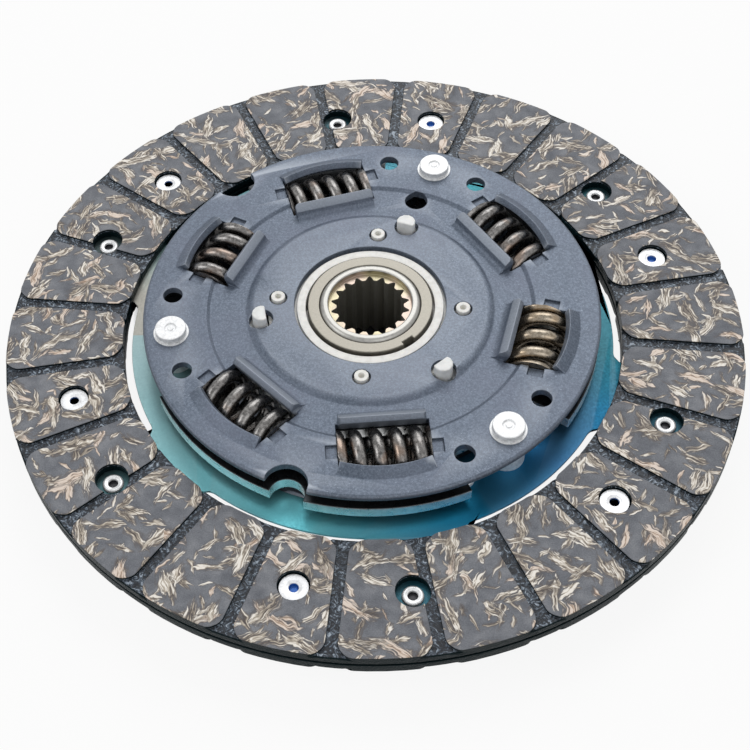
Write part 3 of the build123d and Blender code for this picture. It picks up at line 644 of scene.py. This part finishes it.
def tempered_steel():
    material, tree, shader, place = new_material("tempered spring steel")
    axes = axes_of(tree, place)
    angle = maths(tree, "ARCTAN2", axes[1], axes[0])
    drift = noise(tree, place, 0.035, 3.0)["Fac"]
    turn = maths(tree, "ADD", maths(tree, "DIVIDE", angle, 2 * pi), 0.47)
    turn = maths(tree, "ADD", turn, maths(tree, "MULTIPLY", drift, 0.06), True)
    # Near-black at 0.48, on the right side: the temper's colour together with painted shade under
    # the plate.
    temper = ramp(
        tree, turn, (0.02, (0.22, 0.32, 0.335)), (0.10, (0.18, 0.41, 0.44)),
        (0.21, (0.11, 0.47, 0.54)), (0.30, (0.005, 0.20, 0.35)), (0.38, (0.001, 0.11, 0.27)),
        (0.48, (0.003, 0.08, 0.11)), (0.66, (0.03, 0.17, 0.20)), (0.76, (0.01, 0.14, 0.20)),
        (0.90, (0.15, 0.30, 0.31)), (0.96, (0.28, 0.27, 0.24)),
    )
    # Painted shade: near-black where the disc runs under the facings.
    painted_shade_under_facings = between(tree, radius_of(tree, place), 82.0, 86.0, 0.0, 0.8)
    temper = colour_mix(tree, painted_shade_under_facings, temper, (0.01, 0.035, 0.042))
    rolled = noise(tree, place, 1.4, 5.0, 0.65)["Fac"]
    edges = add(tree, "ShaderNodeNewGeometry").outputs["Pointiness"]
    worn = maths(tree, "MULTIPLY", between(tree, edges, 0.53, 0.6), 0.6)
    temper = colour_mix(tree, worn, temper, (0.45, 0.52, 0.53))
    shade = colour_mix(tree, maths(tree, "MULTIPLY", rolled, 0.12), temper, (0.05, 0.07, 0.08))
    shader.inputs["Metallic"].default_value = 0.8
    polish = between(tree, rolled, 0.3, 0.7, 0.36, 0.52)
    surface(tree, shader, shade, polish, rolled, 0.15, 0.03)
    return material


def opening_corner(a, b):
    upright = (a.xy - b.xy).length < 0.01 and abs(a.z - b.z) > 0.5
    return upright and OPENING_BAND[0] < a.xy.length < OPENING_BAND[1]


cushion = worked_copy("cushion_disc", "cushion_disc_stamping")
bevel_where(cushion, opening_corner, OPENING_CORNER_ROUND, 4)
soften(cushion, 0.1, 2, 50)
finished(cushion, tempered_steel(), "disc", "cushion_disc")

# Rivets of the cushion disc. Six solid zinc-plated rivets hold its ears to the rear plate. Only
# their domed upper heads can be seen, down the access holes of the front plate.
PLATE_T = 2.5
PLATE_RIVET_R = 61.4
PLATE_RIVET_OFFSET = 14.1
PLATE_RIVET_SHANK_D = 4.0
PLATE_RIVET_HEAD_D = 6.6
PLATE_RIVET_HEAD_H = 1.3
PLATE_RIVET_DOME = 0.8
PIN_ANGLES = (69.3, 189.3, 309.3)
PLATE_RIVETS = [p + side * PLATE_RIVET_OFFSET for p in PIN_ANGLES for side in (-1, 1)]
REAR_PLATE_BACK = CUSHION_BACK - PLATE_T

snap = cylinder("cushion rivet", PLATE_RIVET_SHANK_D, REAR_PLATE_BACK, CUSHION_TOP)
grow(snap, CUSHION_TOP, PLATE_RIVET_SHANK_D, PLATE_RIVET_HEAD_D, PLATE_RIVET_HEAD_H)
grow(snap, REAR_PLATE_BACK, PLATE_RIVET_SHANK_D, PLATE_RIVET_HEAD_D, -PLATE_RIVET_HEAD_H)
upper = level(CUSHION_TOP + PLATE_RIVET_HEAD_H)
lower = level(REAR_PLATE_BACK - PLATE_RIVET_HEAD_H)
bevel_where(snap, lambda a, b: upper(a, b) or lower(a, b), PLATE_RIVET_DOME, 5)
smooth(snap)
snaps = rivet_set(snap, "cushion_disc_rivets_set", PLATE_RIVET_R, PLATE_RIVETS)
dull_zinc = plated("cushion rivet plate", (0.80, 0.81, 0.83), 0.35)
finished(snaps, dull_zinc, "disc", "cushion_disc_rivets")
bpy.data.objects.remove(snap, do_unlink=True)

# Retainer plates. Two discs pressed from thick sheet in bands and phosphated slate blue. Each
# window has a straight lip inside and a bowed lip outside that hold a spring.
PLATE_R = 70.0
PLATE_RIM_ROUND = 1.0
PLATE_EDGE_ROUND = 0.22
PLATE_DRILL_TOP = 40  # clear above the front plate
FRONT_PLATE_TOP = 26.3
FRONT_PLATE_HOLES = (  # diameter, distance from the axis, angles
    (5.9, PLATE_RIVET_R, PLATE_RIVETS),  # over the cushion disc's rivets
    (7.1, 46.8, [70.7]),  # tooling hole
    (7.4, 33.8, PIN_ANGLES),  # for the friction ring's pegs
    (5.4, 28.4, [84.2 + 90 * i for i in range(4)]),  # for the bush's dowels
)
STEP_RADII = (35.6, 38.0)  # both edges of the step round the middle


def phosphated(name):
    """Phosphated sheet: slate blue with a fine sparkling grain, paler on raised edges from wear
    and painted highlight, and darker in hollows from painted shade.
    """
    material, tree, shader, place = new_material(name)
    clouds = noise(tree, place, 0.045, 4.0, 0.55)["Fac"]
    base = ramp(
        tree, clouds, (0.35, (0.055, 0.074, 0.107)), (0.50, (0.078, 0.098, 0.135)),
        (0.65, (0.102, 0.120, 0.164)),
    )
    grain = noise(tree, place, 1.5, 4.0, 0.75)["Fac"]
    sparks = noise(tree, place, 2.6, 2.0, 0.6)["Fac"]
    pits = noise(tree, place, 1.1, 4.0, 0.6)["Fac"]
    edges = add(tree, "ShaderNodeNewGeometry").outputs["Pointiness"]
    # Raised edges are paler, part rubbed wear and part painted highlight; hollows are darker,
    # painted shade.
    for value, low, high, share, tone in (
        (grain, 0.40, 0.64, 0.5, (0.18, 0.222, 0.29)),
        (sparks, 0.66, 0.74, 0.55, (0.42, 0.48, 0.56)),
        (pits, 0.34, 0.27, 0.45, (0.04, 0.05, 0.075)),
        (edges, 0.52, 0.60, 0.75, (0.48, 0.52, 0.58)),
        (edges, 0.47, 0.40, 0.6, (0.02, 0.025, 0.04)),
    ):
        there = maths(tree, "MULTIPLY", between(tree, value, low, high), share)
        base = colour_mix(tree, there, base, tone)
    shader.inputs["Metallic"].default_value = 0.35
    surface(tree, shader, base, between(tree, clouds, 0.3, 0.7, 0.38, 0.5), grain, 0.5, 0.09)
    return material


def plate(node, holes, round_steps, step_round):
    piece = worked_copy(node, node + "_pressing")
    for diameter, radius, angles in holes:
        round_holes(piece, diameter, radius, angles, 0, PLATE_DRILL_TOP)

    def on_circle(a, b, radius, slack):
        near = abs(a.xy.length - radius) < slack and abs(b.xy.length - radius) < slack
        return near and abs(a.z - b.z) < 0.01

    def step_edge(a, b):
        return any(on_circle(a, b, radius, 0.15) for radius in round_steps)

    bevel_where(piece, lambda a, b: on_circle(a, b, PLATE_R, 0.3), PLATE_RIM_ROUND, 4)
    bevel_where(piece, step_edge, step_round, 3)
    soften(piece, PLATE_EDGE_ROUND)
    return piece


slate = phosphated("phosphated plate")
# The front plate's inner step edge stays sharp, because it crosses the peg holes.
front_plate = plate("front_retainer_plate", FRONT_PLATE_HOLES, STEP_RADII[1:], 0.4)
finished(front_plate, slate, "disc", "front_retainer_plate")
rear_plate = plate("rear_retainer_plate", (), STEP_RADII, 0.8)
finished(rear_plate, slate, "disc", "rear_retainer_plate")

# Stop pins. Three zinc-plated pins hold the plates apart with their thick bodies and are headed
# over outside both plates. The heads are flat, with a shallow dimple left by the heading tool.
STOP_PIN_R = 61.4
STOP_PIN_BODY_D = 11.0
STOP_PIN_SHANK_D = 8.0
STOP_PIN_COLLAR_D = 10.8
STOP_PIN_COLLAR_H = 0.35
STOP_PIN_NECK_D = 9.0
STOP_PIN_NECK_H = 0.35
STOP_PIN_HEAD_D = 9.5
STOP_PIN_HEAD_H = 2.5  # with its collar and neck
STOP_PIN_HEAD_ROUND = 0.35
DIMPLE_R = 1.9
DIMPLE_RIM_DEPTH = 0.02
DIMPLE_WALL = 0.15
DIMPLE_DEPTH = 0.45
DIMPLE_MIDDLE_RING = 0.65
DIMPLE_MIDDLE_RISE = 0.3
FRONT_PLATE_BACK = FRONT_PLATE_TOP - PLATE_T

pin = cylinder("stop pin", STOP_PIN_BODY_D, CUSHION_TOP, FRONT_PLATE_BACK)
for end, out, face in (
    (FRONT_PLATE_BACK, 1, FRONT_PLATE_TOP), (CUSHION_TOP, -1, REAR_PLATE_BACK),
):
    collar = face + out * STOP_PIN_COLLAR_H
    neck = collar + out * STOP_PIN_NECK_H
    top = face + out * STOP_PIN_HEAD_H
    grow(pin, end, STOP_PIN_BODY_D, STOP_PIN_SHANK_D, face - end)
    grow(pin, face, STOP_PIN_SHANK_D, STOP_PIN_COLLAR_D, collar - face)
    grow(pin, collar, STOP_PIN_COLLAR_D, STOP_PIN_NECK_D, neck - collar)
    grow(pin, neck, STOP_PIN_NECK_D, STOP_PIN_HEAD_D, top - neck)
    bevel_where(pin, level(top), STOP_PIN_HEAD_ROUND, 3)
    flat_ring = STOP_PIN_HEAD_D / 2 - STOP_PIN_HEAD_ROUND - DIMPLE_R
    rim = top - out * DIMPLE_RIM_DEPTH
    sink(pin, top, flat_ring, top - rim)
    sink(pin, rim, DIMPLE_WALL, out * DIMPLE_DEPTH, 0.92)
    sink(pin, rim - out * DIMPLE_DEPTH, DIMPLE_MIDDLE_RING, -out * DIMPLE_MIDDLE_RISE, 0.9)
soften(pin, 0.05, 2, 55)
zinc = plated("stop pin zinc", (0.84, 0.85, 0.86), 0.42)
for i, angle in enumerate(PIN_ANGLES, 1):
    headed = placed_copy(pin, f"stop_pin_{i}_headed", STOP_PIN_R, angle)
    finished(headed, zinc, "disc", f"stop_pin_{i}")
bpy.data.objects.remove(pin, do_unlink=True)

# Main damper springs. Six coils of oiled spring wire lie in the windows across the radius, their
# end turns closed and ground flat. Four are wound open and two close, and one is bronze-coloured.
SPRING_R = 52.2
SPRING_D = 19.0
SPRING_WIRE_D = 4.0
SPRING_END_GAP = 0.1
SHUT_PITCH = 1.02  # of the end turns, in wire diameters
OPEN_PITCH = 6.8
CLOSE_PITCH = 5.8
SPRINGS = (  # angle, window's width, pitch
    (33.8, 27.0, OPEN_PITCH),
    (104.8, 27.0, CLOSE_PITCH),
    (153.8, 23.0, OPEN_PITCH),
    (224.8, 27.0, OPEN_PITCH),
    (273.8, 27.0, CLOSE_PITCH),
    (344.8, 23.0, OPEN_PITCH),
)
BRONZE_SPRING = 6
FLANGE_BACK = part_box("hub_flange")[0].z / MM
FLANGE_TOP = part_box("hub_flange")[1].z / MM
DAMPER_Z = (FLANGE_BACK + FLANGE_TOP) / 2


def coil(name, radius, outer, wire, length, pitch, steps, round_steps):
    """A compression spring across the radius at angle 0, closed and ground at its ends."""
    coil_r = (outer - wire) / 2
    end_rise = wire * SHUT_PITCH
    open_rise = length + wire - 2 * end_rise
    middle = round(open_rise / pitch * steps)
    end_rises = [end_rise / steps] * steps
    rises = end_rises + [open_rise / middle] * middle + end_rises
    bpy.ops.object.select_all(action="DESELECT")
    bpy.ops.curve.primitive_nurbs_path_add()
    winding = bpy.context.object
    winding.name = name
    winding.data.splines.clear()
    line = winding.data.splines.new("POLY")
    line.points.add(len(rises))
    along = length / 2 + wire / 2
    for i, (point, rise) in enumerate(zip(line.points, rises + [0])):
        a = 2 * pi * i / steps
        spot = Vector((radius + coil_r * cos(a), along, DAMPER_Z + coil_r * sin(a))) * MM
        point.co = (*spot, 1)
        along -= rise
    winding.data.dimensions = "3D"
    winding.data.bevel_depth = wire / 2 * MM
    winding.data.bevel_resolution = round_steps
    winding.data.use_fill_caps = True
    alone(winding)
    bpy.ops.object.convert(target="MESH")
    spring = bpy.context.object
    for side in (-1, 1):
        edit_all(spring)
        bpy.ops.mesh.bisect(
            plane_co=(0, side * length / 2 * MM, 0), plane_no=(0, side, 0), use_fill=True,
            clear_outer=True,
        )
        bpy.ops.object.mode_set(mode="OBJECT")
    smooth(spring, 50)
    return spring


def spring_wire(name, base, glint, copper):
    """Oiled spring wire: dark, drawn along its length, with a brown or copper cast in places."""
    material, tree, shader, place = new_material(name)
    cast = noise(tree, place, 0.12, 2.0)["Fac"]
    drawn = noise(tree, place, 1.1, 3.0, 0.6, 0.4)["Fac"]
    shade = ramp(tree, drawn, (0.30, base), (0.72, glint))
    shade = colour_mix(tree, between(tree, cast, 0.5, 0.72, 0.0, 0.6), shade, copper)
    shader.inputs["Metallic"].default_value = 0.95
    surface(tree, shader, shade, between(tree, drawn, 0.3, 0.7, 0.20, 0.32), drawn, 0.15, 0.03)
    return material


grey_wire = spring_wire(
    "oiled spring wire", (0.085, 0.082, 0.08), (0.27, 0.262, 0.255), (0.24, 0.165, 0.12)
)
bronze_wire = spring_wire(
    "bronzed spring wire", (0.17, 0.145, 0.112), (0.36, 0.315, 0.255), (0.34, 0.25, 0.16)
)
coils = {}
for i, (angle, width, pitch) in enumerate(SPRINGS, 1):
    if (width, pitch) not in coils:
        length = width - 2 * SPRING_END_GAP
        coils[width, pitch] = coil(
            f"coil {len(coils)}", SPRING_R, SPRING_D, SPRING_WIRE_D, length, pitch, 40, 6
        )
    wound = placed_copy(coils[width, pitch], f"damper_spring_{i}_coil", 0, angle)
    wire = bronze_wire if i == BRONZE_SPRING else grey_wire
    finished(wound, wire, "disc", f"damper_spring_{i}")
for pattern in coils.values():
    bpy.data.objects.remove(pattern, do_unlink=True)

# Hub flange. A thick ground steel disc between the plates, cut out for the springs and the stop
# pins, which carries the drive to the hub's coarse teeth. Its edge shows between the plates.


def ground_steel(name, tone, roughness, shade_painted_faces=()):
    """Ground steel, painted near-black as shade on any level face at the heights that are given.
    """
    material, tree, shader, place = new_material(name)
    marks = noise(tree, place, 0.35, 4.0, 0.6, 0.3)["Fac"]
    shade = shades(tree, marks, tone, (0.32, 0.8), (0.5, 1.0), (0.68, 1.15))
    height = axes_of(tree, place)[2]
    for level_face in shade_painted_faces:
        gap = maths(tree, "ABSOLUTE", maths(tree, "SUBTRACT", height, level_face))
        dark = between(tree, gap, 0.2, 0.12)
        shade = colour_mix(tree, dark, shade, (0.035, 0.038, 0.042))
    shader.inputs["Metallic"].default_value = 0.85
    polish = between(tree, marks, 0.3, 0.7, roughness, roughness + 0.15)
    surface(tree, shader, shade, polish, marks, 0.15, 0.02)
    return material


flange = worked_copy("hub_flange", "hub_flange_blank")
soften(flange, 0.25, 2)
# The flange's faces under the plates are painted near-black as shade; its edge stays bright.
flange_steel = ground_steel(
    "ground flange steel", (0.80, 0.82, 0.82), 0.24, (FLANGE_BACK, FLANGE_TOP)
)
finished(flange, flange_steel, "flange", "hub_flange")

# Pre-damper springs. Two fine coils of oiled wire, half in pockets of the hub and half in its
# flange, that the bush hides. They take up the first few degrees.
PREDAMPER_R = 20.6
PREDAMPER_ANGLES = (39.3, 219.3)
PREDAMPER_D = 5.2
PREDAMPER_WIRE_D = 0.9
PREDAMPER_LENGTH = 10.4
PREDAMPER_PITCH = 2.1

fine = coil(
    "fine coil", PREDAMPER_R, PREDAMPER_D, PREDAMPER_WIRE_D, PREDAMPER_LENGTH,
    PREDAMPER_PITCH, 20, 2,
)
for i, angle in enumerate(PREDAMPER_ANGLES, 1):
    wound = placed_copy(fine, f"predamper_spring_{i}_coil", 0, angle)
    finished(wound, grey_wire, "flange", f"predamper_spring_{i}")
bpy.data.objects.remove(fine, do_unlink=True)

# Hub. A turned and broached forging with eighteen spline teeth, a rounded rim round its mouth and
# a toothed collar that the flange drives. It is left bare and oiled.
HUB_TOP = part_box("hub")[1].z / MM
HUB_RIM_DROP = 1.2  # the rim's edges lie within this of the hub's top
HUB_RIM_R = 12.7  # and outside this radius
HUB_RECESS_R = 12.85
HUB_RECESS_DROP = 2.0
HUB_BORE_R = 12.2


def hub_rim(a, b):
    high = min(a.z, b.z) > HUB_TOP - HUB_RIM_DROP and min(a.xy.length, b.xy.length) > HUB_RIM_R
    return high and abs(a.z - b.z) < 0.01


def oiled_steel(name, tone):
    """Turned steel under oil: grey on the wall, straw-coloured on the recessed spline face."""
    material, tree, shader, place = new_material(name)
    height = axes_of(tree, place)[2]
    radius = radius_of(tree, place)
    marks = noise(tree, place, 0.8, 5.0, 0.65, 0.3)["Fac"]
    shade = shades(tree, marks, tone, (0.30, 0.8), (0.55, 1.0), (0.75, 1.15))
    patches = between(tree, noise(tree, place, 0.09, 2.0)["Fac"], 0.4, 0.6)
    straw = colour_mix(tree, patches, (0.42, 0.37, 0.22), (0.44, 0.34, 0.28))
    floor_z = HUB_TOP - HUB_RECESS_DROP
    within = maths(tree, "LESS_THAN", radius, HUB_RECESS_R)
    face = maths(tree, "MULTIPLY", within, maths(tree, "GREATER_THAN", height, floor_z))
    shade = colour_mix(tree, maths(tree, "MULTIPLY", face, 0.75), shade, straw)
    within = maths(tree, "LESS_THAN", radius, HUB_BORE_R)
    bore = maths(tree, "MULTIPLY", within, maths(tree, "LESS_THAN", height, floor_z))
    shade = colour_mix(tree, maths(tree, "MULTIPLY", bore, 0.6), shade, (0.34, 0.33, 0.28))
    shader.inputs["Metallic"].default_value = 0.75
    surface(tree, shader, shade, between(tree, marks, 0.3, 0.7, 0.28, 0.42), marks, 0.15, 0.02)
    return material


hub_piece = worked_copy("hub", "hub_forging")
bevel_where(hub_piece, hub_rim, 0.5, 3)
soften(hub_piece, 0.12, 2)
finished(hub_piece, oiled_steel("oiled hub steel", (0.36, 0.355, 0.335)), "hub", "hub")

# Guide ring. A turned steel ring pushed over the hub's nose, with one notch in its edge. The
# front bush runs on it.
guide = worked_copy("hub_guide_ring", "hub_guide_ring_turned")
soften(guide, 0.3, 3)
ring_steel = oiled_steel("oiled ring steel", (0.23, 0.217, 0.187))
finished(guide, ring_steel, "hub", "hub_guide_ring")

# Front bush. A cream nylon moulding on the guide ring: its collar fills the plate's bore, and four
# hollow dowels on its flange stand up through the plate.


def nylon(name, tone):
    material, tree, shader, place = new_material(name)
    clouds = noise(tree, place, 0.5, 3.0)["Fac"]
    shade = shades(tree, clouds, tone, (0.35, 0.88), (0.6, 1.0))
    shader.inputs["Subsurface Weight"].default_value = 0.08
    shader.inputs["Subsurface Radius"].default_value = (0.002, 0.0016, 0.0012)
    surface(tree, shader, shade, 0.42, noise(tree, place, 4.0, 3.0)["Fac"], 0.15, 0.03)
    return material


cream = nylon("cream nylon", (0.95, 0.94, 0.90))
bush = worked_copy("front_bush", "front_bush_moulding")
soften(bush, 0.2, 2, 35)
finished(bush, cream, "disc", "front_bush")

# Front friction ring. A white nylon ring between flange and plate, with three half-round pegs that
# pass through the plate and keep it from turning.
pegs = worked_copy("front_friction_ring", "front_friction_ring_moulding")
soften(pegs, 0.4, 3, 20)
finished(pegs, nylon("white nylon", (0.92, 0.93, 0.92)), "disc", "front_friction_ring")

# Rear bush. A plain cream nylon moulding that carries the hub in the rear plate's bore.


def rear_part(node, material):
    part = worked_copy(node, node + "_part")
    soften(part, 0.12, 2)
    finished(part, material, "disc", node)


rear_part("rear_bush", cream)

# Belleville spring. A coned washer of spring steel on the rear plate. It presses the parts behind
# the flange together.
rear_part("belleville_spring", ground_steel("coned spring steel", (0.46, 0.46, 0.45), 0.3))

# Thrust washer. Bright stamped steel on the coned spring, with tabs that keep it from turning.
rear_part("thrust_washer", ground_steel("washer steel", (0.55, 0.55, 0.54), 0.3))

# Rear friction ring. A dark ring of friction material between the thrust washer and the flange.
rear_part("rear_friction_ring", ground_steel("friction washer", (0.14, 0.13, 0.12), 0.6))

bpy.ops.object.select_all(action="DESELECT")
